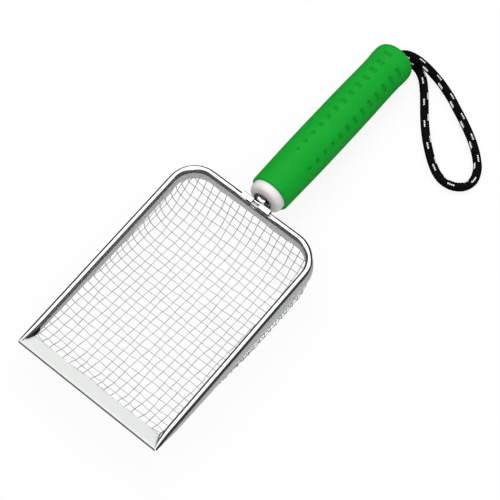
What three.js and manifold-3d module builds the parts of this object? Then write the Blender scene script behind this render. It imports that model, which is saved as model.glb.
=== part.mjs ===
// Hand-held soil sieve: a woven-wire basket in a folded sheet rim, with a screw-on grip.
// Millimetres, +Z up, +Y from the scooping lip to the grip, +X to the right.
// Each piece is drawn from the rim's own plane and moved to the resting height at the end.
import * as THREE from 'three';
import { mergeVertices } from 'three/addons/utils/BufferGeometryUtils.js';
import Module from 'manifold-3d';

const wasm = await Module();
wasm.setup();
const { Manifold, Mesh } = wasm;

// Where the rim's plane and its front edge lie in the shared frame.
const LIP_Y = -172.5;
const RIM_Z = 36.95;

// The rim: a strip folded over a round wire, with two legs that hold the wire cloth.
const RIM_HALF_W = 60;
const RIM_L = 180;
const CORNER_R = 22;
const BEAD_R = 2.3;
const SHEET = 0.5;
const LEG = 11.5;
const CORE_WIRE_R = 1.5;
const TIP_Y = 1.2;

// The scooping lip: a strip folded flat over the front edge of the cloth.
const LIP_DEPTH = 12.2;
const LIP_R = 1.1;
const LIP_SLOPE = THREE.MathUtils.degToRad(18);
const LIP_HALF_W = 58.1;
const LIP_END_TAPER = 0.53;

// The basket cloth.
const WIRE = 0.75;
const CLOTH_X = RIM_HALF_W - BEAD_R;
const CLOTH_COLUMNS = 12;
const WALL_POWER = 8;
const FLOOR_POWER = 4;
const BULGE = 3.5;
const TAB = 2.4;

// The neck and grip, measured along the grip's axis from the back of the rim.
const AXIS_Y = RIM_L;
const AXIS_Z = -6.6;
const DIP = THREE.MathUtils.degToRad(5.1);
const STUD_R = 3;
const STUD_HOLE_R = 3.3;
const HEAD_FROM = -3;
const HEAD_TO = -1.2;
const HEAD_R = 4.5;
const STUD_TO = 24.7;
const PITCH = 1;
const PLATE_Y = RIM_L + 0.15;
const PLATE_T = 0.9;
const PLATE_HALF_W = 12;
const NOTCH_W = 5.8;
const WASHER_FROM = 1.9;
const WASHER_T = 0.9;
const NUT_FROM = 3;
const NUT_T = 3.7;
const HEX_FLAT = 10;
const CORE_FROM = 6.9;
const CORE_R = 13.2;
const GRIP_FROM = 14;
const GRIP_TO = 164.8;
const GRIP_R = 16.1;
const CORD_R = 3.2;

const lerp = THREE.MathUtils.lerp;
const clamp = THREE.MathUtils.clamp;

const STEEL = { color: 0xc9ccca, metalness: 1, roughness: 0.22 };
const DARK_STEEL = { color: 0x8e918f, metalness: 1, roughness: 0.35 };
const BRASS = { color: 0xc2a05a, metalness: 1, roughness: 0.35 };
const GREEN = { color: 0x1aa431, metalness: 0, roughness: 0.5 };
const WHITE = { color: 0xe9e6e6, metalness: 0, roughness: 0.35 };
const BLACK = { color: 0x131314, metalness: 0, roughness: 0.9 };

const sieve = new THREE.Group();
sieve.name = 'soil_sieve';

function addPart(name, geometry, look) {
  geometry.translate(0, LIP_Y, RIM_Z);
  geometry.computeVertexNormals();
  const mesh = new THREE.Mesh(geometry, new THREE.MeshStandardMaterial(look));
  mesh.name = name;
  sieve.add(mesh);
}

// A closed body through a row of closed outlines, each a list of points.
function loft(outlines) {
  const n = outlines[0].length;
  const index = [];
  for (let i = 0; i + 1 < outlines.length; i++) {
    for (let j = 0; j < n; j++) {
      const [a, b] = [i * n + j, i * n + ((j + 1) % n)];
      index.push(a, b, b + n, a, b + n, a + n);
    }
  }
  const flat = outlines.map((o) => endTriangles(o));
  flat[0].forEach(([a, b, c]) => index.push(a, c, b));
  const last = (outlines.length - 1) * n;
  flat[outlines.length - 1].forEach(([a, b, c]) => index.push(last + a, last + b, last + c));
  const geometry = new THREE.BufferGeometry();
  const points = outlines.flat().flatMap((p) => [p.x, p.y, p.z]);
  geometry.setAttribute('position', new THREE.Float32BufferAttribute(points, 3));
  geometry.setIndex(index);
  return outward(geometry);
}

// The triangles that fill an outline, found in the plane that it lies in.
function endTriangles(outline) {
  const normal = new THREE.Vector3();
  outline.forEach((p, i) => {
    const q = outline[(i + 1) % outline.length];
    normal.add(new THREE.Vector3().crossVectors(p, q));
  });
  const turn = new THREE.Quaternion().setFromUnitVectors(normal.normalize(), new THREE.Vector3(0, 0, 1));
  const flat = outline.map((p) => p.clone().applyQuaternion(turn));
  return THREE.ShapeUtils.triangulateShape(flat.map((p) => new THREE.Vector2(p.x, p.y)), []);
}

function volume(geometry) {
  const p = geometry.attributes.position;
  const at = (i) => new THREE.Vector3().fromBufferAttribute(p, geometry.index.array[i]);
  let sum = 0;
  for (let i = 0; i < geometry.index.count; i += 3) sum += at(i).dot(at(i + 1).cross(at(i + 2)));
  return sum;
}

// Turns a closed body's faces outward.
function outward(geometry) {
  if (volume(geometry) < 0) geometry.index.array.reverse();
  return geometry;
}

function toSolid(geometry) {
  const bare = geometry.clone();
  bare.deleteAttribute('normal');
  bare.deleteAttribute('uv');
  const joined = outward(mergeVertices(bare, 1e-5));
  return new Manifold(new Mesh({
    numProp: 3,
    vertProperties: new Float32Array(joined.attributes.position.array),
    triVerts: new Uint32Array(joined.index.array),
  }));
}

function fromSolid(solid) {
  const mesh = solid.getMesh();
  const geometry = new THREE.BufferGeometry();
  geometry.setAttribute('position', new THREE.Float32BufferAttribute(mesh.vertProperties, 3));
  geometry.setIndex([...mesh.triVerts]);
  return geometry;
}

// A turned body about the grip's axis; a profile is a list of [radius, distance along].
function turned(profile, sides = 32) {
  const closed = profile[0][0] > 0 ? [...profile, profile[0]] : profile;
  const points = closed.map(([r, s]) => new THREE.Vector2(r, s));
  const lathe = new THREE.LatheGeometry(points, sides);
  lathe.deleteAttribute('normal');
  lathe.deleteAttribute('uv');
  return outward(mergeVertices(lathe, 1e-5));
}

function onAxis(geometry) {
  return geometry.rotateX(-DIP).translate(0, AXIS_Y, AXIS_Z);
}

// The rim's path: centre of the bead, its radius and the length of the legs, from tip to tip.
function legAt(y) {
  if (y < 16) return lerp(1.5, 6.5, (y - TIP_Y) / (16 - TIP_Y));
  return lerp(6.5, LEG, Math.pow(clamp((y - 16) / 84, 0, 1), 0.7));
}

function rimStations() {
  const right = [];
  const x = RIM_HALF_W - BEAD_R;
  [TIP_Y, 6, 11, 16].forEach((y, i) => {
    const k = i / 3;
    const r = lerp(0.8, BEAD_R, Math.sqrt(k));
    right.push({ x: RIM_HALF_W - r, y, r, leg: legAt(y), dir: 0 });
  });
  [30, 50, 75, 100].forEach((y) => right.push({ x, y, r: BEAD_R, leg: legAt(y), dir: 0 }));
  const bend = CORNER_R - BEAD_R;
  for (let i = 0; i <= 8; i++) {
    const dir = (i / 8) * (Math.PI / 2);
    const cx = x - bend + bend * Math.cos(dir);
    const cy = RIM_L - CORNER_R + bend * Math.sin(dir);
    right.push({ x: cx, y: cy, r: BEAD_R, leg: LEG, dir });
  }
  const left = right.map((s) => ({ ...s, x: -s.x, dir: Math.PI - s.dir })).reverse();
  return [...right, ...left];
}

function makeRimChannel() {
  const outlines = rimStations().map(({ x, y, r, leg, dir }) => {
    const sheet = Math.min(SHEET, r * 0.5);
    const lean = leg * 0.04;
    const flat = [[r - lean, -leg]];
    for (let i = 0; i <= 8; i++) flat.push([r * Math.cos(i * Math.PI / 8), r * Math.sin(i * Math.PI / 8)]);
    flat.push([-r + lean, -leg], [-r + lean + sheet, -leg]);
    const q = r - sheet;
    for (let i = 8; i >= 0; i--) flat.push([q * Math.cos(i * Math.PI / 8), q * Math.sin(i * Math.PI / 8)]);
    flat.push([r - lean - sheet, -leg]);
    return flat.map(([n, z]) => new THREE.Vector3(x + n * Math.cos(dir), y + n * Math.sin(dir), z));
  });
  const hole = onAxis(turned([[0, HEAD_TO], [STUD_HOLE_R, HEAD_TO], [STUD_HOLE_R, 2], [0, 2]]));
  const notch = new THREE.BoxGeometry(NOTCH_W, 2 * BEAD_R, 2).translate(0, RIM_L - 1, 1.4);
  const strip = toSolid(loft(outlines)).subtract(toSolid(hole)).subtract(toSolid(notch));
  addPart('rim_channel', fromSolid(strip), STEEL);
}

function makeRimCoreWire() {
  const outlines = rimStations().filter((s) => s.y > 15).map(({ x, y, dir }) => {
    const ring = [];
    for (let i = 0; i < 12; i++) {
      const n = CORE_WIRE_R * Math.cos(i * Math.PI / 6);
      const z = CORE_WIRE_R * Math.sin(i * Math.PI / 6);
      ring.push(new THREE.Vector3(x + n * Math.cos(dir), y + n * Math.sin(dir), z));
    }
    return ring;
  });
  addPart('rim_core_wire', loft(outlines), DARK_STEEL);
}

function makeFrontLip() {
  const flat = [[LIP_DEPTH, LIP_R]];
  for (let i = 0; i <= 8; i++) {
    const a = Math.PI / 2 + i * Math.PI / 8;
    flat.push([LIP_R + LIP_R * Math.cos(a), LIP_R * Math.sin(a)]);
  }
  flat.push([LIP_DEPTH - 2.5, -LIP_R], [LIP_DEPTH - 2.5, -LIP_R + SHEET]);
  const q = LIP_R - SHEET;
  for (let i = 8; i >= 0; i--) {
    const a = Math.PI / 2 + i * Math.PI / 8;
    flat.push([LIP_R + q * Math.cos(a), q * Math.sin(a)]);
  }
  flat.push([LIP_DEPTH, q]);
  const [c, s] = [Math.cos(LIP_SLOPE), Math.sin(LIP_SLOPE)];
  const outlines = [1, -1].map((side) => flat.map(([p, n]) => {
    const x = side * (LIP_HALF_W - LIP_END_TAPER * p);
    return new THREE.Vector3(x, p * c + n * s, -p * s + n * c);
  }));
  addPart('front_lip', loft(outlines), STEEL);
}

// A small three-cornered plate between the lip's end and the rim's tip, on each side.
function makeCornerGussets() {
  [['right', 1], ['left', -1]].forEach(([side, sign]) => {
    const corners = [[56.9, 2.6, -0.2], [51.9, 12.9, -3.2], [54.5, 17.6, -1.4]];
    const [a, b, c] = corners.map(([x, y, z]) => new THREE.Vector3(sign * x, y, z));
    const normal = b.clone().sub(a).cross(c.clone().sub(a)).normalize().multiplyScalar(0.25);
    const plate = [-1, 1].map((k) => [a, b, c].map((p) => p.clone().addScaledVector(normal, k)));
    addPart('corner_gusset_' + side, loft(plate), DARK_STEEL);
  });
}

// The basket's floor along its middle, and how far out and how high its edge lies.
const floorLine = new THREE.CatmullRomCurve3([
  [6, -1.9], [12.6, -4.1], [17, -8.4], [26, -12.2], [48, -18], [80, -25.7], [112, -33.4], [132, -36.4],
  [146, -36.4], [158, -33], [167.5, -26], [174, -17.5], [177.7, -12.1],
].map(([y, z]) => new THREE.Vector3(0, y, z)));
const floorPoints = floorLine.getPoints(400);

function floorZ(y) {
  if (y < 13) return -y * Math.tan(LIP_SLOPE);
  const i = floorPoints.findIndex((p) => p.y >= y - 1e-6);
  if (i <= 0) return floorPoints[i < 0 ? floorPoints.length - 1 : 0].z;
  const [a, b] = [floorPoints[i - 1], floorPoints[i]];
  return lerp(a.z, b.z, (y - a.y) / (b.y - a.y));
}

function clothHalfWidth(y) {
  if (y < 13) return 50.6;
  if (y < 30) return lerp(50.6, CLOTH_X, (y - 13) / 17);
  const [bend, from] = [CLOTH_X - 38, RIM_L - CORNER_R];
  if (y < from) return CLOTH_X;
  return 38 + bend * Math.sqrt(Math.max(0, 1 - ((y - from) / (RIM_L - BEAD_R - from)) ** 2));
}

function clothEdgeZ(y) {
  return y < 13 ? floorZ(y) : -legAt(y) - 0.6;
}

// How far the side walls swell out under the rails.
function bulgeAt(y) {
  return BULGE * THREE.MathUtils.smoothstep(y, 35, 90) * (1 - THREE.MathUtils.smoothstep(y, 150, 177));
}

// One row of the cloth, from the right rail to the left, in equal steps along the wire.
function clothRow(y) {
  const [w, low, edge, bulge] = [clothHalfWidth(y), floorZ(y), clothEdgeZ(y), bulgeAt(y)];
  const line = [];
  for (let i = 0; i <= 600; i++) {
    const t = Math.cos((i / 600) * Math.PI);
    const down = (1 - Math.abs(t) ** WALL_POWER) ** (1 / FLOOR_POWER);
    const x = w * t + Math.sign(t) * bulge * Math.sin(Math.PI * down);
    line.push(new THREE.Vector3(x, y, lerp(edge, low, down)));
  }
  const far = [0];
  for (let i = 1; i < line.length; i++) far.push(far[i - 1] + line[i].distanceTo(line[i - 1]));
  const row = [];
  for (let j = 0; j <= CLOTH_COLUMNS; j++) {
    const want = (far[far.length - 1] * j) / CLOTH_COLUMNS;
    const i = Math.max(1, far.findIndex((f) => f >= want - 1e-6));
    row.push(line[i - 1].clone().lerp(line[i], (want - far[i - 1]) / (far[i] - far[i - 1])));
  }
  if (y < 30 || y > RIM_L - BEAD_R - 0.1) return [null, ...row, null];
  const up = new THREE.Vector3(0, 0, TAB);
  return [row[0].clone().add(up), ...row, row[CLOTH_COLUMNS].clone().add(up)];
}

function makeWireMesh() {
  const bend = RIM_L - CORNER_R;
  const ys = [4.5, 12.7, 21, 33, 45, 58, 71, 84, 97, 110, 123, 135, 147, bend];
  [30, 60, 90].forEach((degrees) => {
    ys.push(bend + (CORNER_R - BEAD_R - 0.01) * Math.sin(THREE.MathUtils.degToRad(degrees)));
  });
  const rows = ys.map((y) => clothRow(y));
  const last = rows[rows.length - 1];
  rows.push(last.map((p) => {
    const clear = p && Math.abs(p.x) > HEAD_R;
    return clear ? p.clone().add(new THREE.Vector3(0, 0, TAB)) : null;
  }));
  addPart('wire_mesh', lattice(rows), STEEL);
}

// Square wires along the rows and columns of a grid of points, as one closed body.
function lattice(grid) {
  const at = (i, j) => (grid[i] && grid[i][j]) || null;
  const points = [];
  const index = [];
  const first = new Map();
  grid.forEach((row, i) => row.forEach((p, j) => {
    if (!p) return;
    const along = (a, b, fallback) => {
      const d = (b || p).clone().sub(a || p);
      return d.lengthSq() > 1e-9 ? d.normalize() : fallback;
    };
    const u = along(at(i, j - 1), at(i, j + 1), new THREE.Vector3(-1, 0, 0));
    const v0 = along(at(i - 1, j), at(i + 1, j), new THREE.Vector3(0, 1, 0));
    const n = u.clone().cross(v0).normalize();
    const v = n.clone().cross(u);
    first.set(i + '_' + j, points.length);
    [[-1, -1], [1, -1], [1, 1], [-1, 1]].forEach(([a, b]) => [-1, 1].forEach((c) => {
      const q = p.clone().addScaledVector(u, a * WIRE / 2).addScaledVector(v, b * WIRE / 2);
      points.push(q.addScaledVector(n, c * WIRE / 2));
    }));
  }));
  const quad = (a, b, c, d) => index.push(a, b, c, a, c, d);
  const rib = (near, far) => near.forEach((a, m) => {
    const t = (m + 1) % 4;
    quad(a, far[m], far[t], near[t]);
  });
  first.forEach((o, key) => {
    const [i, j] = key.split('_').map(Number);
    quad(o, o + 2, o + 4, o + 6);
    quad(o + 7, o + 5, o + 3, o + 1);
    const sides = [[i - 1, j, 0, 2], [i, j + 1, 2, 4], [i + 1, j, 4, 6], [i, j - 1, 6, 0]];
    sides.forEach(([a, b, p, q], k) => {
      const other = first.get(a + '_' + b);
      if (other === undefined) {
        quad(o + q, o + p, o + p + 1, o + q + 1);
      } else if (k === 1) {
        rib([o + 2, o + 4, o + 5, o + 3], [other, other + 6, other + 7, other + 1]);
      } else if (k === 2) {
        rib([o + 4, o + 6, o + 7, o + 5], [other + 2, other, other + 1, other + 3]);
      }
    });
  });
  const geometry = new THREE.BufferGeometry();
  geometry.setAttribute('position', new THREE.Float32BufferAttribute(points.flatMap((p) => [p.x, p.y, p.z]), 3));
  geometry.setIndex(index);
  return outward(geometry);
}

// An angle of thin plate over the bead and down its back, slotted in the middle, for the bolt.
function makeSaddleBracket() {
  const top = BEAD_R + 0.1;
  const [front, back, low] = [PLATE_Y, PLATE_Y + PLATE_T, AXIS_Z - 6.8];
  const outline = [[RIM_L - BEAD_R - 1, top], [front - 0.35, top], [front, top - 0.35], [front, low], [back, low]];
  for (let i = 0; i <= 4; i++) {
    const a = (i / 4) * (Math.PI / 2);
    outline.push([back - PLATE_T * (1 - Math.cos(a)), top + PLATE_T * Math.sin(a)]);
  }
  outline.push([RIM_L - BEAD_R - 1, top + PLATE_T]);
  const sides = [-PLATE_HALF_W, PLATE_HALF_W].map((x) => outline.map(([y, z]) => new THREE.Vector3(x, y, z)));
  const hole = onAxis(turned([[0, -1], [STUD_HOLE_R, -1], [STUD_HOLE_R, 4], [0, 4]]));
  const notch = new THREE.BoxGeometry(NOTCH_W, 9, 3).translate(0, RIM_L - 1, top);
  const plate = toSolid(loft(sides)).subtract(toSolid(hole)).subtract(toSolid(notch));
  addPart('saddle_bracket', fromSolid(plate), STEEL);
}

// The bolt that the grip screws on to: its thin round head sits between the rim's legs.
function makeHandleBolt() {
  const profile = [[0, HEAD_FROM], [HEAD_R - 0.3, HEAD_FROM], [HEAD_R, HEAD_FROM + 0.3], [HEAD_R, HEAD_TO]];
  profile.push([STUD_R, HEAD_TO]);
  for (let s = CORE_FROM; s < STUD_TO - 0.9; s += PITCH) {
    profile.push([STUD_R, s], [STUD_R - 0.45, s + PITCH / 2]);
  }
  profile.push([STUD_R - 0.5, STUD_TO], [0, STUD_TO]);
  addPart('handle_bolt', onAxis(turned(profile, 24)), DARK_STEEL);
}

function makeFlatWasher() {
  const [bore, edge, to] = [STUD_R + 0.2, 6.5, WASHER_FROM + WASHER_T];
  const profile = [[bore, WASHER_FROM], [edge, WASHER_FROM], [edge, to], [bore, to]];
  addPart('flat_washer', onAxis(turned(profile, 40)), STEEL);
}

// A solid hexagon across the grip's axis, from one distance along it.
function hexagon(from, thick) {
  const across = HEX_FLAT / 2 / Math.cos(Math.PI / 6);
  return toSolid(new THREE.CylinderGeometry(across, across, thick, 6).translate(0, from + thick / 2, 0));
}

// A hexagon nut made in one piece with its round flange, which faces the ferrule.
function makeFlangeNut() {
  const to = NUT_FROM + NUT_T;
  const dome = turned([[0, NUT_FROM], [4.7, NUT_FROM], [5.9, NUT_FROM + 0.7], [5.9, to], [0, to]]);
  const skirt = turned([[0, to - 1.6], [5, to - 1.6], [7.4, to - 0.7], [7.4, to - 0.2], [7.1, to], [0, to]]);
  const bore = turned([[0, 0], [STUD_R + 0.15, 0], [STUD_R + 0.15, to + 1], [0, to + 1]]);
  const nut = hexagon(NUT_FROM, NUT_T - 0.5).intersect(toSolid(dome)).add(toSolid(skirt));
  addPart('flange_nut', onAxis(fromSolid(nut.subtract(toSolid(bore)))), STEEL);
}

function makeThreadedInsert() {
  const bore = STUD_R + 0.15;
  const profile = [[bore, 8.5], [5.4, 8.5], [5.4, 9.7], [4.5, 10.1], [4.5, 15.3], [5, 15.9], [5, 19.3]];
  profile.push([4.5, 19.9], [4.5, 25.2], [bore, 25.2]);
  addPart('threaded_insert', onAxis(turned(profile)), BRASS);
}

// The grip's hard core: a ferrule at the neck, a pocket for the insert, and a hollow behind.
function makeHandleCore() {
  const pocket = 5.6;
  const profile = [[STUD_R + 0.4, CORE_FROM], [8.6, CORE_FROM + 0.1], [11, CORE_FROM + 0.6]];
  profile.push([12.4, CORE_FROM + 1.6], [13, CORE_FROM + 3], [CORE_R, CORE_FROM + 5], [CORE_R, 157]);
  profile.push([11.2, 157], [11.2, 60], [7, 56], [7, 27.5], [pocket, 27.5], [pocket, 8.3], [STUD_R + 0.4, 8.3]);
  addPart('handle_core', onAxis(turned(profile, 40)), WHITE);
}

function makeCoreEndPlug() {
  const profile = [[6.7, 152], [11, 152], [11, 157.2], [12.9, 157.2], [12.9, 159.2], [6.7, 159.2]];
  addPart('core_end_plug', onAxis(turned(profile)), WHITE);
}

// The soft grip, moulded over the core, with rows of thirteen slots that widen to its end.
function makeGripSleeve() {
  const inner = CORE_R + 0.1;
  const profile = [[inner, GRIP_FROM], [14.8, GRIP_FROM], [15.3, GRIP_FROM + 0.6], [15.45, 24], [15.85, 42]];
  profile.push([GRIP_R, 62], [GRIP_R, 100], [15.95, 118], [15.7, 132], [15.6, 143], [15.65, 147.5]);
  profile.push([15.9, 151], [GRIP_R, 154.5], [GRIP_R, 158.5], [15.6, 161.2], [14.3, 163.3], [12.3, 164.5]);
  profile.push([10.2, GRIP_TO], [8.8, 164.2], [7.5, 162.7], [6.8, 160.6], [6.8, 159.6], [inner, 159.6]);
  let grip = toSolid(turned(profile, 56));
  for (let i = 0; i < 13; i++) {
    const slot = new THREE.BoxGeometry(2.6 + i * 0.45, 2.6, 1.6).translate(0, 48 + i * 8.8, GRIP_R);
    [-13, 47, 167, 227].forEach((degrees) => {
      const cutter = slot.clone().rotateY(THREE.MathUtils.degToRad(degrees));
      grip = grip.subtract(toSolid(cutter));
    });
  }
  addPart('grip_sleeve', onAxis(fromSolid(grip)), GREEN);
}

// The wrist cord: one length, both ends knotted in the hollow, and its loop lying on the ground.
const cordRoute = [
  [0, 331.5, -16.8], [0, 336, -17.2], [0, 341, -17.7], [0.4, 345.4, -18.2], [3.4, 349.4, -19],
  [8, 352.1, -20.4], [13.4, 353.7, -22.6], [19.6, 354.5, -25.4], [26.4, 354.5, -28.4], [33.4, 353.8, -31.2],
  [41, 351.8, -33.1], [49.1, 348.4, -33.7], [57, 344.1, -33.7], [64.9, 339.9, -33.7], [72.4, 335.5, -33.7],
  [79.6, 330.8, -33.7], [86.2, 325.7, -33.7], [92.1, 320.1, -33.7], [97.1, 313.8, -33.7], [100, 304.6, -33.7],
  [97.8, 297.3, -33.7], [92, 292.5, -33.7], [84.6, 290.9, -33.7], [77.1, 292.5, -33.7], [69.4, 297, -33.7],
  [61.8, 303.1, -33.7], [54.5, 309.9, -33.7], [47.6, 317.3, -33.7], [41.4, 324.9, -33.7], [34.9, 333.5, -33.7],
  [28.9, 341.1, -33.2], [22.6, 347.5, -31.9], [16.2, 350.9, -30.1], [10.5, 351.2, -28.3], [6.2, 349.2, -26.6],
  [2.5, 346, -25.2], [0.4, 342.4, -24.5], [0, 338, -24], [0, 331.5, -23.4],
].map(([x, y, z]) => new THREE.Vector3(x, y, z));

function makeWristCord() {
  const path = new THREE.CatmullRomCurve3(cordRoute, false, 'centripetal');
  const ring = [];
  for (let i = 0; i < 10; i++) {
    ring.push(new THREE.Vector2(CORD_R * Math.cos(i * Math.PI / 5), CORD_R * Math.sin(i * Math.PI / 5)));
  }
  const tube = new THREE.ExtrudeGeometry(new THREE.Shape(ring), { steps: 76, extrudePath: path });
  tube.deleteAttribute('normal');
  tube.deleteAttribute('uv');
  addPart('wrist_cord', outward(mergeVertices(tube, 1e-5)), BLACK);
}

function makeCordKnot() {
  const knot = turned([[0, 140], [5, 140.8], [8.6, 143.6], [9.3, 146.6], [7.8, 149.6], [3.5, 151], [0, 151.1]], 16);
  addPart('cord_knot', onAxis(knot), BLACK);
}

makeRimChannel();
makeRimCoreWire();
makeFrontLip();
makeCornerGussets();
makeWireMesh();
makeSaddleBracket();
makeHandleBolt();
makeFlatWasher();
makeFlangeNut();
makeThreadedInsert();
makeHandleCore();
makeCoreEndPlug();
makeGripSleeve();
makeWristCord();
makeCordKnot();

export default sieve;
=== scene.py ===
import math

import bpy
import numpy as np
from mathutils import Matrix, Vector


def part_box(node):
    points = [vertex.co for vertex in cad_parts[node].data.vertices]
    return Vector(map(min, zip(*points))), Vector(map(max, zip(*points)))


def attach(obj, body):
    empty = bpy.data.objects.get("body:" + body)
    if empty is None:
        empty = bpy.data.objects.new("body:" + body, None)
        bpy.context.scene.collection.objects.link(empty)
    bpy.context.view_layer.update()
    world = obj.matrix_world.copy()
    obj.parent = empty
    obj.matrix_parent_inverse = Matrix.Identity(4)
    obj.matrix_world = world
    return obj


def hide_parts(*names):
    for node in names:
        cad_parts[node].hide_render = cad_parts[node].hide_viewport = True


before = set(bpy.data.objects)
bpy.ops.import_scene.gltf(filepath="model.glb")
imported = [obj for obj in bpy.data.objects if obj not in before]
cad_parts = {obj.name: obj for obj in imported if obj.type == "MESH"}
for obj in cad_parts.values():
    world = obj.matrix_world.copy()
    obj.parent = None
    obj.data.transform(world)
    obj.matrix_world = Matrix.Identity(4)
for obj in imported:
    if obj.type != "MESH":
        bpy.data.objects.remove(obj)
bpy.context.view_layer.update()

# ---------------------------------------------------------------------------
# The camera: a long lens high over the scooping lip, to the right of the sieve
# and turned by a small roll. It aims at a point on the rim's plane.
azimuth, elevation, roll = (math.radians(a) for a in (37.18, 66.85, 1.93))
aim, distance = Vector((0.0183, -0.0229, 0.03695)), 1.1331
back = Vector((
    math.sin(azimuth) * math.cos(elevation), -math.cos(azimuth) * math.cos(elevation), math.sin(elevation),
))
level = Vector((math.cos(azimuth), math.sin(azimuth), 0))
upward = back.cross(level)
right = level * math.cos(roll) + upward * math.sin(roll)
upward = upward * math.cos(roll) - level * math.sin(roll)
camera_data = bpy.data.cameras.new("camera")
camera_data.lens, camera_data.sensor_width = 119.4, 36
camera = bpy.data.objects.new("camera", camera_data)
bpy.context.scene.collection.objects.link(camera)
facing = Matrix((right, upward, back)).transposed().to_4x4()
camera.matrix_world = Matrix.Translation(aim + back * distance) @ facing
bpy.context.scene.camera = camera

# ---------------------------------------------------------------------------
# The wrist cord: 6.4 mm polypropylene cord plaited from 24 flat bundles of yarn, most black and a few
# white. It comes out of the grip's end, makes one loop on the ground and goes back in.
CORD_D, LINE_STEP = 0.0064, 0.00024
cord_route = [
    (0, 0.159, 0.02015), (0, 0.1635, 0.01975), (0, 0.1685, 0.01925), (0.0004, 0.1729, 0.01875),
    (0.0034, 0.1769, 0.01795), (0.008, 0.1796, 0.01655), (0.0134, 0.1812, 0.01435),
    (0.0196, 0.182, 0.01155), (0.0264, 0.182, 0.00855), (0.0334, 0.1813, 0.00575),
    (0.041, 0.1793, 0.00385), (0.0491, 0.1759, 0.00325), (0.057, 0.1716, 0.00325),
    (0.0649, 0.1674, 0.00325), (0.0724, 0.163, 0.00325), (0.0796, 0.1583, 0.00325),
    (0.0862, 0.1532, 0.00325), (0.0921, 0.1476, 0.00325), (0.0971, 0.1413, 0.00325),
    (0.1, 0.1321, 0.00325), (0.0978, 0.1248, 0.00325), (0.092, 0.12, 0.00325),
    (0.0846, 0.1184, 0.00325), (0.0771, 0.12, 0.00325), (0.0694, 0.1245, 0.00325),
    (0.0618, 0.1306, 0.00325), (0.0545, 0.1374, 0.00325), (0.0476, 0.1448, 0.00325),
    (0.0414, 0.1524, 0.00325), (0.0349, 0.161, 0.00325), (0.0289, 0.1686, 0.00375),
    (0.0226, 0.175, 0.00505), (0.0162, 0.1784, 0.00685), (0.0105, 0.1787, 0.00865),
    (0.0062, 0.1767, 0.01035), (0.0025, 0.1735, 0.01175), (0.0004, 0.1699, 0.01245),
    (0, 0.1655, 0.01295), (0, 0.159, 0.01355),
]


def lengths(points):
    """How far along a line each of its points is."""
    return np.concatenate([[0], np.cumsum(np.linalg.norm(np.diff(points, axis=0), axis=1))])


def spaced(points, step):
    """Points along the same line, an even step apart."""
    along = lengths(points)
    at = np.linspace(0, along[-1], max(2, round(along[-1] / step) + 1))
    return np.stack([np.interp(at, along, points[:, k]) for k in range(3)], axis=1)


def smooth_line(route, step):
    """A smooth line through every point of a route: a centripetal Catmull-Rom spline."""
    p = np.array(route, float)
    p = np.concatenate([[2 * p[0] - p[1]], p, [2 * p[-1] - p[-2]]])
    line = []
    for i in range(len(p) - 3):
        a, b, c, d = p[i : i + 4]
        knots = np.cumsum([0] + [np.linalg.norm(v) ** 0.5 for v in (b - a, c - b, d - c)])
        for t in np.linspace(knots[1], knots[2], 24, endpoint=i == len(p) - 4):
            ab, bc, cd = (
                (q * (knots[k + 1] - t) + r * (t - knots[k])) / (knots[k + 1] - knots[k])
                for k, (q, r) in enumerate(((a, b), (b, c), (c, d)))
            )
            left = (ab * (knots[2] - t) + bc * (t - knots[0])) / (knots[2] - knots[0])
            later = (bc * (knots[3] - t) + cd * (t - knots[1])) / (knots[3] - knots[1])
            line.append((left * (knots[2] - t) + later * (t - knots[1])) / (knots[2] - knots[1]))
    return spaced(np.array(line), step)


def sideways(line, first=(0, 0, 1)):
    """Two directions across a line at each of its points, carried along it without twist."""
    along = np.gradient(line, axis=0)
    along /= np.linalg.norm(along, axis=1)[:, None]
    across = np.empty_like(line)
    side = np.array(first, float)
    for i, t in enumerate(along):
        side = side - t * side.dot(t)
        side /= np.linalg.norm(side)
        across[i] = side
    return across, np.cross(along, across)


def new_piece(name, points, faces, materials, face_slots=None, sharp=30):
    """Makes a piece, with smooth shading up to an angle in degrees."""
    mesh = bpy.data.meshes.new(name)
    mesh.from_pydata(np.asarray(points, float).tolist(), [], [tuple(map(int, f)) for f in faces])
    for material in materials:
        mesh.materials.append(material)
    if face_slots is not None:
        mesh.polygons.foreach_set("material_index", np.asarray(face_slots, np.int32))
    mesh.shade_smooth()
    mesh.set_sharp_from_angle(angle=math.radians(sharp))
    piece = bpy.data.objects.new(name, mesh)
    bpy.context.scene.collection.objects.link(piece)
    return piece


def colour(hex_code):
    """A linear colour from an sRGB hex value."""
    channels = [int(hex_code[i : i + 2], 16) / 255 for i in (1, 3, 5)]
    return [c / 12.92 if c <= 0.04045 else ((c + 0.055) / 1.055) ** 2.4 for c in channels] + [1]


def add_node(tree, kind, inputs=None, **settings):
    """Adds a shader node: its inputs are values or the sockets they are linked from."""
    node = tree.nodes.new("ShaderNode" + kind)
    for key, value in settings.items():
        setattr(node, key, value)
    for socket, value in (inputs or {}).items():
        if isinstance(value, bpy.types.NodeSocket):
            tree.links.new(value, node.inputs[socket])
        else:
            node.inputs[socket].default_value = value
    return node


def new_material(name, constants):
    """A material with plain values on its shader: itself, its node tree and the shader."""
    material = bpy.data.materials.new(name)
    material.use_nodes = True
    shader = material.node_tree.nodes["Principled BSDF"]
    for socket, value in constants.items():
        shader.inputs[socket].default_value = value
    return material, material.node_tree, shader


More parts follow.
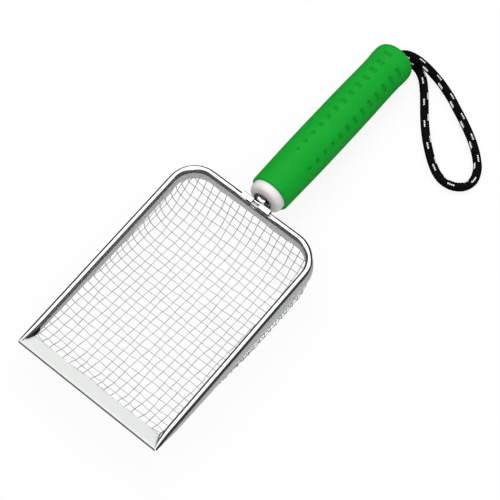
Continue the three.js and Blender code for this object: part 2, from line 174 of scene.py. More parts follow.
def plaited_yarn(name, dark, light, roughness):
    # Fine polypropylene filament: a soft, slightly broken sheen along each bundle. The filaments are
    # about 0.05 mm thick, too fine to show, so they are drawn 0.25 mm apart.
    material, tree, shader = new_material(name, {"Roughness": roughness, "Specular IOR Level": 0.06})
    place = add_node(tree, "TexCoord")
    fibre = add_node(tree, "TexNoise", {"Vector": place.outputs["Object"], "Scale": 4000, "Detail": 2})
    patch = add_node(tree, "TexNoise", {"Vector": place.outputs["Object"], "Scale": 350})
    tint = add_node(
        tree, "Mix", {0: patch.outputs["Fac"], 6: colour(dark), 7: colour(light)}, data_type="RGBA")
    tree.links.new(tint.outputs[2], shader.inputs["Base Color"])
    bump = add_node(tree, "Bump", {"Strength": 0.5, "Distance": 0.00008, "Height": fibre.outputs["Fac"]})
    tree.links.new(bump.outputs["Normal"], shader.inputs["Normal"])
    return material


# Twelve bundles wind each way. Where two cross they make one cell of the plait, 1.37 mm long, which is
# drawn in three parts each way and stands up by the yarn's rise.
CELLS, PARTS, CELL_LONG = 12, 3, 0.00137
YARN_HOLLOW, YARN_RISE, FIRST_ROW = 0.00022, 0.0003, 0.0002
cord_line = smooth_line(cord_route, LINE_STEP)
across, below = sideways(cord_line)
rows = 2 * PARTS * int(len(cord_line) * LINE_STEP / CELL_LONG) - 1
row_step = CELL_LONG / 2 / PARTS
along = lengths(cord_line)
ring = 2 * CELLS * PARTS
grid_t, grid_w = np.meshgrid(np.arange(rows), np.arange(0, ring, 2), indexing="ij")
grid_w = grid_w + grid_t % 2


def bundle(t, w):
    """Which yarn lies on top at a place of the plait, and how high it stands there, from 0 to 1."""
    a, b = (w + t) / (2 * PARTS), (w - t) / (2 * PARTS)
    i, j = np.floor(a + 1e-6), np.floor(b + 1e-6)
    over = (i + j) % 4 < 2
    pair = np.where((i + j) % 4 % 2 == 0, 0, 1)
    side = np.where(over, a - i, b - j)
    run = (np.where(over, b - j, a - i) + pair) / 2
    return i, j, over, (1 - (2 * side - 1) ** 4) * (0.35 + 0.65 * np.sin(np.pi * np.clip(run, 0, 1)))


rise = bundle(grid_t, grid_w)[3]
radius = CORD_D / 2 - YARN_HOLLOW + YARN_RISE * rise
angle = 2 * np.pi * grid_w / ring
at = grid_t * row_step + FIRST_ROW
centre = np.stack([np.interp(at, along, cord_line[:, k]) for k in range(3)], axis=-1)
side_a = np.stack([np.interp(at, along, across[:, k]) for k in range(3)], axis=-1)
side_b = np.stack([np.interp(at, along, below[:, k]) for k in range(3)], axis=-1)
plait = centre + radius[..., None] * (np.cos(angle)[..., None] * side_a + np.sin(angle)[..., None] * side_b)
faces, tops = [], []
per_row = ring // 2
for t in range(rows - 2):
    odd = t % 2
    for k in range(per_row):
        k_left, k_right = (k, (k + 1) % per_row) if odd else ((k - 1) % per_row, k)
        here, above = t * per_row, (t + 1) * per_row
        faces.append((here + k, above + k_right, above + per_row + k, above + k_left))
        tops.append((t + 1, 2 * k + odd))
tops = np.array(tops, float)
i, j, over, _ = bundle(tops[:, 0], tops[:, 1])
column, row = (i + j) % (2 * CELLS), i - j
# White yarn shows in two broken lines of flecks, one of them two bundles broad. Both repeat every 26 rows.
REPEAT, BROAD_LONG, NARROW_LONG = 26, 8, 7
off_edge = (tops[:, 0] + tops[:, 1]) / (2 * PARTS) - i > 0.1
broad = (column // 2 == 2) & (row % REPEAT < BROAD_LONG)
narrow = (column == 0) & ((row + BROAD_LONG) % REPEAT < NARROW_LONG)
white = over & off_edge & (broad | narrow)
yarns = [
    plaited_yarn("black_polypropylene_yarn", "#040404", "#0d0d0e", 0.75),
    plaited_yarn("white_polypropylene_yarn", "#e4e4e0", "#fafaf6", 0.6),
]
wrist_cord = new_piece("plaited_cord", plait.reshape(-1, 3), faces, yarns, white, sharp=80)
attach(wrist_cord, "wrist_strap")
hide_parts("wrist_cord")


def dress(node, material):
    """Gives a node that keeps its own mesh a finish, and returns it."""
    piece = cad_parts[node]
    piece.data.materials.clear()
    piece.data.materials.append(material)
    return piece


# The knot that holds both ends inside the grip's hollow, out of sight: the same black yarn.
dress("cord_knot", yarns[0])

# ---------------------------------------------------------------------------
# The wire cloth: plain-woven stainless wire, 0.5 mm thick and 6 mm apart, pressed into a deep basket.
# Each wire passes over and under its neighbours in turn, and its ends are held in the rim and the lip.
PITCH, WIRE_R, CRIMP, SHORTEST = 6.0, 0.25, 0.25, 15
CORE_R, RIM_LONG = 0.0015, 0.180
rim_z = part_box("rim_core_wire")[1].z - CORE_R
lip_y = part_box("rim_channel")[1].y - RIM_LONG


def placed(points):
    """Millimetres from the rim's plane and the lip's edge, put in the shared frame."""
    return np.asarray(points, float) * 0.001 + np.array([0, lip_y, rim_z])


TAPER_FROM, TAPER_TO, FULL_LEG_AT = 1.2, 16, 100
LEG_TIP, LEG_FRONT, LEG_BACK = 1.5, 6.5, 11.5


def leg_at(y):
    """How far the rim's legs reach below its bead: less and less towards the lip."""
    y = np.asarray(y, float)
    along_side = np.clip((y - TAPER_TO) / (FULL_LEG_AT - TAPER_TO), 0, 1) ** 0.7
    taper = LEG_TIP + (LEG_FRONT - LEG_TIP) * (y - TAPER_FROM) / (TAPER_TO - TAPER_FROM)
    return np.where(y < TAPER_TO, taper, LEG_FRONT + (LEG_BACK - LEG_FRONT) * along_side)


# The cloth is worked out as a sheet of points, a grid step apart, that the wires are then laid on. First
# comes its floor along the middle, from under the lip, where it is flat, to the fold at the back; then its
# edge, which is held a little way up inside the rim.
GRID, UNDER_LIP, HELD, BACK = 0.25, 13, 3.0, 177
CORNER_X, CORNER_Y, CORNER_R = 38, 158.0, 19.7
floor_route = [
    (0, 2, -0.65), (0, 6, -1.95), (0, 12.6, -4.1), (0, 17, -8.4), (0, 26, -12.2), (0, 48, -18),
    (0, 80, -25.7), (0, 112, -33.4), (0, 132, -36.1), (0, 146, -36.1), (0, 158, -33), (0, 167.5, -26),
    (0, 174, -17.5), (0, 177.7, -12.1),
]
floor_line = smooth_line(floor_route, GRID)
floor_at = lengths(floor_line)
half_width = np.interp(floor_line[:, 1], [12, 30], [54, 57.7])
late = floor_line[:, 1] > CORNER_Y
past = (floor_line[late, 1] - CORNER_Y) / CORNER_R
half_width[late] = CORNER_X + CORNER_R * np.sqrt(np.clip(1 - past**2, 0, 1))
edge_z = np.where(floor_line[:, 1] < UNDER_LIP, floor_line[:, 2], -leg_at(floor_line[:, 1]) - 0.6)
edge_z = np.where(floor_line[:, 1] < UNDER_LIP, edge_z, np.maximum(edge_z, floor_line[:, 2]))
reach = np.arange(-105, 105.01, GRID)


def ease(value, start, end):
    """A smooth step from 0 at the start to 1 at the end."""
    k = min(max((value - start) / (end - start), 0), 1)
    return k * k * (3 - 2 * k)


# Across, the basket is a box with rounded corners. The left wall is nearly upright and the right one bulges.
side = np.sin(np.linspace(0, np.pi / 2, 600))
down = (1 - side**8) ** 0.25
SWELLS = ((-1, 0.3), (1, 3.5))
sheet = np.full((len(floor_line), len(reach), 3), np.nan)
for n, (_, y, low) in enumerate(floor_line):
    z = edge_z[n] + (low - edge_z[n]) * down
    held = 0.0 if y < UNDER_LIP else HELD
    for hand, most in SWELLS:
        swell = most * ease(y, 35, 90) * (1 - ease(y, 150, BACK))
        x = half_width[n] * side + swell * np.sin(np.pi * down)
        far = lengths(np.stack([x, x * 0, z], axis=1))
        ok = (np.abs(reach) <= far[-1] + held) & (reach * hand >= 0)
        out = np.abs(reach[ok])
        sheet[n, ok, 0] = hand * np.interp(out, far, x)
        sheet[n, ok, 1] = y
        sheet[n, ok, 2] = np.interp(out, far, z) + np.clip(out - far[-1], 0, held)
filled = np.where(np.isnan(sheet), 0, sheet)
du, dv = np.gradient(filled, axis=1), np.gradient(filled, axis=0)
normal = np.cross(du, dv)
normal /= np.maximum(np.linalg.norm(normal, axis=2), 1e-9)[..., None]


def skin(rings, sides):
    """Faces that join a row of closed rings."""
    return [
        (r * sides + k, r * sides + (k + 1) % sides, (r + 1) * sides + (k + 1) % sides, (r + 1) * sides + k)
        for r in range(rings - 1)
        for k in range(sides)
    ]


def loft(outlines):
    """Points and faces through a row of closed outlines, with both ends closed."""
    outlines = np.asarray(outlines, float)
    rings, sides = outlines.shape[:2]
    faces = skin(rings, sides)
    faces += [tuple(range(sides))[::-1], tuple((rings - 1) * sides + k for k in range(sides))]
    return outlines.reshape(-1, 3), faces


def round_bar(line, radius, sides):
    """The points and faces of a round bar along a line."""
    a, b = sideways(line, (0.3, 0.2, 1))
    turn = np.arange(sides) * 2 * np.pi / sides
    around = np.cos(turn)[None, :, None] * a[:, None] + np.sin(turn)[None, :, None] * b[:, None]
    return loft(line[:, None] + radius * around)


WIRE_STEP, WIRE_SIDES = 0.9, 7
cloth_points, cloth_faces = [], []


def lay_wire(line):
    """Adds one wire along a line to the cloth."""
    points, faces = round_bar(spaced(line, WIRE_STEP), WIRE_R, WIRE_SIDES)
    start = sum(len(laid) for laid in cloth_points)
    cloth_points.append(points)
    cloth_faces.extend([tuple(v + start for v in f) for f in faces])


def wander(along_wire, number):
    """How far a wire strays sideways from its even place, in millimetres: long, slow bends."""
    bend = 0.5 * np.sin(along_wire / 13 + number * 1.9) + 0.35 * np.sin(along_wire / 6.1 + number * 2.7)
    ends = np.minimum(along_wire - along_wire[0], along_wire[-1] - along_wire)
    return bend * np.clip(ends / 14 - 0.3, 0, 1)


def on_sheet(rows_at, columns_at):
    """Places on the cloth's middle surface between its grid points."""
    r, c = np.clip(rows_at, 0, len(sheet) - 1.001), np.clip(columns_at, 0, len(reach) - 1.001)
    r0, c0 = r.astype(int), c.astype(int)
    fr, fc = (r - r0)[:, None], (c - c0)[:, None]
    return (filled[r0, c0] * (1 - fr) * (1 - fc) + filled[r0 + 1, c0] * fr * (1 - fc)
            + filled[r0, c0 + 1] * (1 - fr) * fc + filled[r0 + 1, c0 + 1] * fr * fc)


# The wires that run across, from the lip to the back. The lip holds the first one nearly straight.
FIRST_WIRE = PITCH * 0.6
for n, s in enumerate(np.arange(FIRST_WIRE, floor_at[-1] + 0.1, PITCH)):
    k = int(np.argmin(np.abs(floor_at - s)))
    ok = ~np.isnan(sheet[k, :, 0])
    wave = CRIMP * (-1) ** n * np.cos(np.pi * reach[ok] / PITCH)
    columns_at = np.nonzero(ok)[0].astype(float)
    loose = 0.3 if n == 0 else 1
    rows_at = k + wander(reach[ok], n) / GRID * loose
    lay_wire(on_sheet(rows_at, columns_at) + normal[k, ok] * wave[:, None])
# The wires that run from the lip to the back. There they reach up into the fold, but for the one at the slot.
WIRES_A_SIDE = 17
for m in range(-WIRES_A_SIDE, WIRES_A_SIDE + 1):
    k = int(np.argmin(np.abs(reach - m * PITCH)))
    ok = ~np.isnan(sheet[:, k, 0])
    if ok.sum() * GRID < SHORTEST:
        continue
    wave = -CRIMP * (-1) ** m * np.cos(np.pi * (floor_at[ok] - FIRST_WIRE) / PITCH)
    line = on_sheet(np.nonzero(ok)[0].astype(float), k + wander(floor_at[ok], m + 0.5) / GRID)
    line = line + normal[ok, k] * wave[:, None]
    if line[-1, 1] > BACK and m != 0:
        line = np.concatenate([line, line[-1] + np.array([[0, 0, HELD / 2], [0, 0, HELD]])])
    lay_wire(line)

# Drawn stainless wire: bright but fine, so it mostly shows as mid grey with a soft glint. Dull grey
# patches come from the pressing.
wire_steel, tree, shader = new_material("drawn_stainless_wire", {"Metallic": 0.75, "Roughness": 0.34})
place = add_node(tree, "TexCoord")
patch = add_node(tree, "TexNoise", {"Vector": place.outputs["Object"], "Scale": 60, "Detail": 3})
tint = add_node(
    tree, "Mix", {0: patch.outputs["Fac"], 6: colour("#b2b4b5"), 7: colour("#d8dad9")}, data_type="RGBA")
tree.links.new(tint.outputs[2], shader.inputs["Base Color"])
drawn = add_node(tree, "TexNoise", {"Vector": place.outputs["Object"], "Scale": 2500, "Detail": 1})
bump = add_node(tree, "Bump", {"Strength": 0.15, "Distance": 0.00003, "Height": drawn.outputs["Fac"]})
tree.links.new(bump.outputs["Normal"], shader.inputs["Normal"])
wire_cloth = new_piece(
    "woven_wire_cloth", placed(np.concatenate(cloth_points)), cloth_faces, [wire_steel], sharp=60)
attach(wire_cloth, "basket")
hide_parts("wire_mesh")

# ---------------------------------------------------------------------------
# The rim: a strip of bright stainless sheet, folded over a round wire so that its two legs hold the
# cloth's edge. It tapers to a point at each end of the lip.
BEAD_R, TIP_R, SHEET, RIM_HALF_W = 2.3, 0.8, 0.5, 60
FLARE, FLARE_FROM = 1.4, 6


def rim_stations():
    """The rim's right half from the lip to the middle of the back: place, bead radius, leg, direction."""
    found = []
    for y in [TAPER_FROM, 2, 3, 4.5, 6, 8, 10, 12, 14, 16, 18, 21, 25, 30, 36, 43, 50, 60, 75, 100, 130, 150]:
        k = min(max((y - TAPER_FROM) / (TAPER_TO - TAPER_FROM), 0), 1)
        r = TIP_R + (BEAD_R - TIP_R) * math.sqrt(k)
        found.append((RIM_HALF_W - r, y, r, float(leg_at(y)), 0.0))
    for turn in np.linspace(0, math.pi / 2, 28):
        x, y = CORNER_X + CORNER_R * math.cos(turn), CORNER_Y + CORNER_R * math.sin(turn)
        found.append((x, y, BEAD_R, LEG_BACK, turn))
    found.append((20, CORNER_Y + CORNER_R, BEAD_R, LEG_BACK, math.pi / 2))
    return found


half = rim_stations()
stations = half + [(-x, y, r, leg, math.pi - turn) for x, y, r, leg, turn in reversed(half)]


def channel(r, leg):
    """The folded strip's own outline: a round bead, a pinched throat and two legs with a kicked-out edge."""
    sheet_t = min(SHEET, r * 0.5)
    q = r - sheet_t
    past_half = 0.58
    wrap = np.linspace(-past_half, math.pi + past_half, 37)
    throat = 0.72 * r
    foot = leg - throat
    depths = [(k, 0.8 * r + (0.2 * r - leg * 0.04) * k**0.6) for k in (1, 0.93, 0.86, 0.6, 0.3, 0.1, 0)]
    kick = [0.3, 0.08, 0, 0, 0, 0, 0]
    side = [(x + out * min(1, leg / 6), -throat - foot * k) for (k, x), out in zip(depths, kick)]
    flare = FLARE * max(leg - FLARE_FROM, 0) / (LEG_BACK - FLARE_FROM)
    outside = [(x + flare * k**1.3, z) for (x, z), (k, _) in zip(side, depths)]
    outer = outside + [(r * math.cos(a), r * math.sin(a)) for a in wrap] + [(-x, z) for x, z in side[::-1]]
    inner = [(-x + sheet_t, z) for x, z in side] + [(q * math.cos(a), q * math.sin(a)) for a in wrap[::-1]]
    inner += [(x - sheet_t, z) for x, z in outside[::-1]]
    return outer + inner


outlines = [
    [(x + n * math.cos(turn), y + n * math.sin(turn), z) for n, z in channel(r, leg)]
    for x, y, r, leg, turn in stations
]


def rolled_stainless(name, base, roughness, grain):
    # Bright-annealed stainless strip: close to a mirror, with faint rolling lines along it and
    # slightly duller patches from handling. The lines are really 0.02 mm apart and are drawn coarser.
    material, tree, shader = new_material(name, {"Base Color": colour(base), "Metallic": 1.0})
    place = add_node(tree, "TexCoord")
    patch = add_node(tree, "TexNoise", {"Vector": place.outputs["Object"], "Scale": 45, "Detail": 4})
    rough = add_node(
        tree, "MapRange",
        {"Value": patch.outputs["Fac"], "To Min": roughness * 0.7, "To Max": roughness * 1.4},
    )
    tree.links.new(rough.outputs["Result"], shader.inputs["Roughness"])
    stretch = add_node(tree, "Mapping", {"Vector": place.outputs["Object"], "Scale": grain})
    lines = add_node(tree, "TexNoise", {"Vector": stretch.outputs["Vector"], "Scale": 1, "Detail": 2})
    bump = add_node(tree, "Bump", {"Strength": 0.04, "Distance": 0.00002, "Height": lines.outputs["Fac"]})
    tree.links.new(bump.outputs["Normal"], shader.inputs["Normal"])
    return material


def folded_stainless(name, base, crease_painted_shade, leg):
    # The same strip after folding: bright on the bead, then a dark band of painted shade in the crease below
    # it, and brushed paler and less mirror-like towards the legs' free edges.
    material = rolled_stainless(name, base, 0.12, (4000, 120, 4000))
    tree = material.node_tree
    shader = tree.nodes["Principled BSDF"]
    place = add_node(tree, "TexCoord")
    height = add_node(tree, "SeparateXYZ", {"Vector": place.outputs["Object"]})
    depth = add_node(
        tree, "MapRange", {"Value": height.outputs["Z"], "From Min": rim_z, "From Max": rim_z - 0.010})
    ramp = add_node(tree, "ValToRGB", {"Fac": depth.outputs["Result"]})
    # The dark stops of this ramp are painted shade in the crease under the bead.
    stops = [(0.05, base), (0.11, crease_painted_shade), (0.17, crease_painted_shade), (0.36, leg), (1.0, leg)]
    while len(ramp.color_ramp.elements) < len(stops):
        ramp.color_ramp.elements.new(0.5)
    for element, (spot, tone) in zip(ramp.color_ramp.elements, stops):
        element.position, element.color = spot, colour(tone)
    tree.links.new(ramp.outputs["Color"], shader.inputs["Base Color"])
    mirror = add_node(
        tree, "MapRange",
        {"Value": depth.outputs["Result"], "From Min": 0.16, "From Max": 0.4, "To Min": 1.0, "To Max": 0.08})
    tree.links.new(mirror.outputs["Result"], shader.inputs["Metallic"])
    return material


# 262827 is the painted shade colour for the crease under the bead.
fold_steel = folded_stainless("folded_bright_stainless", "#dcdedc", "#262827", "#d2d6d2")
points, faces = loft(outlines)
rim = new_piece("folded_rim", placed(points), faces, [fold_steel], sharp=50)


def box_points(low, high):
    """The eight corners of a box, in the order that BOX_FACES takes them."""
    around = ((low[0], low[1]), (high[0], low[1]), (high[0], high[1]), (low[0], high[1]))
    return [(x, y, z) for z in (low[2], high[2]) for x, y in around]


BOX_FACES = [(3, 2, 1, 0), (4, 5, 6, 7), (0, 1, 5, 4), (1, 2, 6, 5), (2, 3, 7, 6), (3, 0, 4, 7)]


def cut(piece, points, faces):
    """Cuts a closed shape, given in the shared frame, out of a piece."""
    tool = new_piece("tool", points, faces, [])
    step = piece.modifiers.new("cut", "BOOLEAN")
    step.operation, step.solver, step.object = "DIFFERENCE", "EXACT", tool
    done_mesh = bpy.data.meshes.new_from_object(piece.evaluated_get(bpy.context.evaluated_depsgraph_get()))
    piece.modifiers.clear()
    piece.data = done_mesh
    bpy.data.objects.remove(tool)


# The slot over the bolt, where the fold is opened at the middle of the back, and the bolt's hole below it.
SLOT_W, HOLE_R, AXIS_BELOW = 5.8, 3.3, 0.0066
DIP = math.radians(5.1)
axis_from = Vector((0, lip_y + RIM_LONG, rim_z - AXIS_BELOW))
axis_turn = Matrix.Rotation(-DIP, 3, "X")


def on_axis(points):
    """Millimetres across, along and above the grip's axis, put in the shared frame."""
    turned = (np.asarray(points, float) * 0.001) @ np.array(axis_turn).T
    return turned + np.array(axis_from)


hole_turn = np.arange(32) * math.pi / 16
hole = [[(HOLE_R * math.sin(a), s, HOLE_R * math.cos(a)) for a in hole_turn] for s in (-1.2, 4)]
hole_points, hole_faces = loft(hole)
slot_points = box_points((-SLOT_W / 2, 174.5, 0.4), (SLOT_W / 2, 183, 6))
cut(rim, placed(slot_points), BOX_FACES)
cut(rim, on_axis(hole_points), hole_faces)
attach(rim, "basket")
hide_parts("rim_channel")

# The wire inside the fold, drawn like the cloth's.
dress("rim_core_wire", wire_steel)

# ---------------------------------------------------------------------------
# The scooping lip: a strip of the same sheet folded flat over the cloth's front edge. It slopes down
# into the basket, and its ends are cut back at an angle.
LIP_R, LIP_DEPTH, LIP_SLOPE = 1.1, 11.0, math.radians(18)
LIP_HALF_W, LIP_CUT, LIP_TONE = 59.5, 0.41, "#dfe2df"
lower_leaf = LIP_DEPTH - 2.5
arc = np.linspace(math.pi / 2, 3 * math.pi / 2, 17)
fold = [(LIP_DEPTH, LIP_R - 0.12), (LIP_DEPTH - 0.12, LIP_R)] + [(p, LIP_R) for p in (9, 6, 3)]
fold += [(LIP_R + LIP_R * math.cos(a), LIP_R * math.sin(a)) for a in arc]
fold += [(lower_leaf, -LIP_R), (lower_leaf, -LIP_R + SHEET)]
fold += [(LIP_R + (LIP_R - SHEET) * math.cos(a), (LIP_R - SHEET) * math.sin(a)) for a in arc[::-1]]
fold += [(LIP_DEPTH, LIP_R - SHEET)]
outlines = []
for side in np.linspace(1, -1, 41):
    outlines.append([
        (side * (LIP_HALF_W - LIP_CUT * p),
         p * math.cos(LIP_SLOPE) + n * math.sin(LIP_SLOPE),
         -p * math.sin(LIP_SLOPE) + n * math.cos(LIP_SLOPE))
        for p, n in fold
    ])
# Satin strip, brushed until it is hardly a mirror, with a dark line of painted shade along the rounded front
# of its fold.
lip_steel = rolled_stainless("satin_stainless_strip", LIP_TONE, 0.36, (120, 4000, 4000))
tree = lip_steel.node_tree
shader = tree.nodes["Principled BSDF"]
shader.inputs["Metallic"].default_value = 0.25
place = add_node(tree, "TexCoord")
spot = add_node(tree, "SeparateXYZ", {"Vector": place.outputs["Object"]})
# Painted shade: the base colour darkens to #5d605e over the fold's rounded front edge.
painted_fold_shade = add_node(
    tree, "MapRange", {"Value": spot.outputs["Y"], "From Min": lip_y + 0.0006, "From Max": lip_y + 0.0011})
tint = add_node(
    tree, "Mix", {0: painted_fold_shade.outputs["Result"], 6: colour("#5d605e"), 7: colour(LIP_TONE)}, data_type="RGBA")
tree.links.new(tint.outputs[2], shader.inputs["Base Color"])
points, faces = loft(outlines)
lip = new_piece("scooping_lip", placed(points), faces, [lip_steel], sharp=40)
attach(lip, "basket")
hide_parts("front_lip")

# ---------------------------------------------------------------------------
# A small twisted plate of plain steel closes each corner, from the lip's cut end up to the rim's bead.
# It is welded in, and its nearly black colour is painted shade for the dark corner between the lip and the
# bead.
bead_edge = [(58.9, 1.7, 0.9), (57.6, 4, 0.9), (56.6, 7, 0.8), (55.7, 10, 0.7), (55.3, 13, 0.2)]
bead_edge += [(55.6, 17, -1)]
lip_edge = [(58.5, 2.2, 1.1), (56.9, 5, 0.1), (55.6, 8.3, -0.9), (54.5, 11, -1.9), (54.4, 13, -2.6)]
lip_edge += [(55.3, 17, -3)]
bead_edge, lip_edge = (smooth_line(edge, 0.8) for edge in (bead_edge, lip_edge))
steps_along = min(len(bead_edge), len(lip_edge))
# Painted shade: a near-black base colour stands in for the shade in the corner.
corner_shade_steel = rolled_stainless("corner_plate_painted_shade", "#3b3e3d", 0.3, (900, 900, 900))
bow, thick = np.array([0.25, 0, -0.25]), np.array([0.25, 0, 0.4])
for name, sign in (("left", -1), ("right", 1)):
    outlines = []
    for n in range(steps_along):
        top = bead_edge[round(n * (len(bead_edge) - 1) / (steps_along - 1))]
        low = lip_edge[round(n * (len(lip_edge) - 1) / (steps_along - 1))]
        middle = (top + low) / 2 + bow
        outline = (top, middle, low, low - thick, middle - thick, top - thick)
        outlines.append([p * np.array([sign, 1, 1]) for p in outline])
    points, faces = loft(outlines)
    plate = new_piece(f"corner_plate_{name}", placed(points), faces, [corner_shade_steel], sharp=60)
    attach(plate, "basket")
    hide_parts(f"corner_gusset_{name}")

# ---------------------------------------------------------------------------
# The bracket: an angle of 0.9 mm stainless plate, bent over the bead and down its back and welded there.
# It is slotted in the middle over the bolt, and its edges are softened.
PLATE_T, PLATE_HALF_W, PLATE_FROM, PLATE_FOOT, INNER_BEND = 0.9, 12, 176.7, -13.4, 0.35
top_z, front_y = BEAD_R + 0.1, 180.15
outline = [(PLATE_FROM, top_z), (front_y - INNER_BEND, top_z), (front_y, top_z - INNER_BEND)]
outline += [(front_y, PLATE_FOOT), (front_y + PLATE_T, PLATE_FOOT)]
for a in np.linspace(0, math.pi / 2, 9):
    outline.append((front_y + PLATE_T * math.cos(a), top_z + PLATE_T * math.sin(a)))
outline.append((PLATE_FROM, top_z + PLATE_T))
points, faces = loft([[(x, y, z) for y, z in outline] for x in (-PLATE_HALF_W, PLATE_HALF_W)])


def soften(piece, width, angle):
    """Rounds the edges of a piece that are sharper than an angle in degrees."""
    bevel = piece.modifiers.new("softened_edges", "BEVEL")
    bevel.width, bevel.segments = width, 2
    bevel.limit_method, bevel.angle_limit = "ANGLE", math.radians(angle)


plate_steel = rolled_stainless("bright_annealed_stainless", "#d6d8d6", 0.12, (4000, 120, 4000))
bracket = new_piece("slotted_bracket", placed(points), faces, [plate_steel], sharp=35)
cut(bracket, placed(slot_points), BOX_FACES)
cut(bracket, on_axis(hole_points), hole_faces)
soften(bracket, 0.00018, 50)
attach(bracket, "basket")
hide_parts("saddle_bracket")

# ---------------------------------------------------------------------------
# The bolt, washer and nut at the neck. All three are plated; the thread is 6 mm with a 1 mm pitch, and
# is drawn as the real single helix.
BOLT_R, THREAD_DEPTH, THREAD_FROM, THREAD_TO, BOLT_SIDES, CENTRE_R = 3.0, 0.5, 1.6, 24.2, 48, 0.05
head = [(-3.0, CENTRE_R), (-3.0, 4.0), (-2.93, 4.25), (-2.75, 4.43), (-2.6, 4.5), (-1.25, 4.5)]
head += [(-1.2, 4.45), (-1.2, 3.0)]
shank = [-1.0, 1.5] + list(np.arange(THREAD_FROM, THREAD_TO, 0.1)) + [24.4, 24.7, 24.7]


def turned_grid(radius, sections, sides):
    """Points of a body round the axis, one ring for each section, with a radius that may vary round it."""
    angle = np.arange(sides) * 2 * np.pi / sides
    rings = []
    for n, s in enumerate(sections):
        r = np.broadcast_to(radius(angle, s, n), angle.shape)
        rings.append(np.stack([r * np.sin(angle), np.full(sides, float(s)), r * np.cos(angle)], axis=1))
    return np.array(rings)


def hexagon(angle, flat):
    """The radius round a hexagon, from its width over the flats."""
    return flat / 2 / np.cos((angle + np.pi / 6) % (np.pi / 3) - np.pi / 6)


def bolt_radius(angle, s, n):
    """A round head, a plain neck, the thread and a blunt end."""
    if n < len(head):
        return np.full_like(angle, head[n][1])
    if s < THREAD_FROM:
        return np.full_like(angle, BOLT_R)
    if s > THREAD_TO:
        last = n == len(head) + len(shank) - 1
        return np.full_like(angle, CENTRE_R if last else BOLT_R - THREAD_DEPTH)
    phase = (s - angle / (2 * np.pi)) % 1
    return BOLT_R - THREAD_DEPTH * np.clip(1.15 * np.abs(2 * phase - 1) - 0.075, 0, 1)


def chrome(name, base, roughness):
    # Chrome or zinc plate on a turned part: a mirror with a slight orange-peel waviness of about 1 mm
    # and fine tool marks.
    material, tree, shader = new_material(name, {"Base Color": colour(base), "Metallic": 1.0})
    place = add_node(tree, "TexCoord")
    peel = add_node(tree, "TexNoise", {"Vector": place.outputs["Object"], "Scale": 700, "Detail": 1})
    rough = add_node(
        tree, "MapRange", {"Value": peel.outputs["Fac"], "To Min": roughness, "To Max": roughness * 2})
    tree.links.new(rough.outputs["Result"], shader.inputs["Roughness"])
    bump = add_node(tree, "Bump", {"Strength": 0.15, "Distance": 0.00005, "Height": peel.outputs["Fac"]})
    tree.links.new(bump.outputs["Normal"], shader.inputs["Normal"])
    return material


zinc = chrome("zinc_plated_steel", "#8d8f8e", 0.2)
grid = turned_grid(bolt_radius, [s for s, _ in head] + shank, BOLT_SIDES)
bolt = new_piece("neck_bolt", on_axis(grid.reshape(-1, 3)), loft(grid)[1], [zinc], sharp=35)
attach(bolt, "basket")
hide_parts("handle_bolt")

NUT_SIDES, NUT_FLATS = 96, 10
nut_at = [3.0, 3.0, 3.1, 3.3, 3.6, 4.2, 4.7, 5.1, 5.3, 5.5, 5.7, 5.9, 6.05, 6.4, 6.55, 6.7, 6.7]
nut_r = [3.15, 4.5, 4.95, 5.4, 5.9, 5.9, 5.9, 5.9, 5.9, 6.2, 6.7, 7.2, 7.4, 7.4, 7.3, 7.1, 3.15]


def nut_radius(angle, s, n):
    """Six flats with rounded corners, then a cone that widens to the round flange."""
    if s < 4.6:
        return np.minimum(hexagon(angle, NUT_FLATS), nut_r[n])
    cone = np.interp(s, [4.7, 5.3, 5.9, 6.05], [5.0, 5.6, 7.1, 7.4])
    return np.minimum(np.maximum(hexagon(angle, NUT_FLATS) if s < 5.8 else 0, cone), nut_r[n])


def closed_skin(rings, sides):
    """Faces through a row of rings, the last of which joins the first."""
    last = (rings - 1) * sides
    joint = [(last + k, last + (k + 1) % sides, (k + 1) % sides, k) for k in range(sides)]
    return skin(rings, sides) + joint


plating = chrome("bright_nickel_plate", "#a8a9a9", 0.06)
grid = turned_grid(nut_radius, nut_at, NUT_SIDES)
nut_faces = closed_skin(len(nut_at), NUT_SIDES)
nut = new_piece("locking_nut", on_axis(grid.reshape(-1, 3)), nut_faces, [plating], sharp=35)
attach(nut, "basket")
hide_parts("flange_nut")

# The washer between the bracket and the nut, with its edges softened too.
soften(dress("flat_washer", plating), 0.00015, 40)

# ---------------------------------------------------------------------------
# The grip's core: a white polypropylene moulding. Its ferrule shows at the neck, the rest is inside the
# grip with a brass insert for the bolt and a plug that closes its hollow.
CORE_SIDES = 96
core_line = [(3.4, 6.9), (6.5, 6.92), (8.6, 7.0), (10, 7.15), (11.1, 7.5), (11.9, 8.0), (12.5, 8.7)]
core_line += [(12.9, 9.6), (13.1, 10.6), (13.2, 11.9), (13.2, 60), (13.2, 157), (11.2, 157)]
core_line += [(11.2, 60), (7, 56), (7, 27.5), (5.6, 27.5), (5.6, 8.3), (3.4, 8.3)]
core_grid = turned_grid(lambda angle, s, n: core_line[n][0], [s for _, s in core_line], CORE_SIDES)

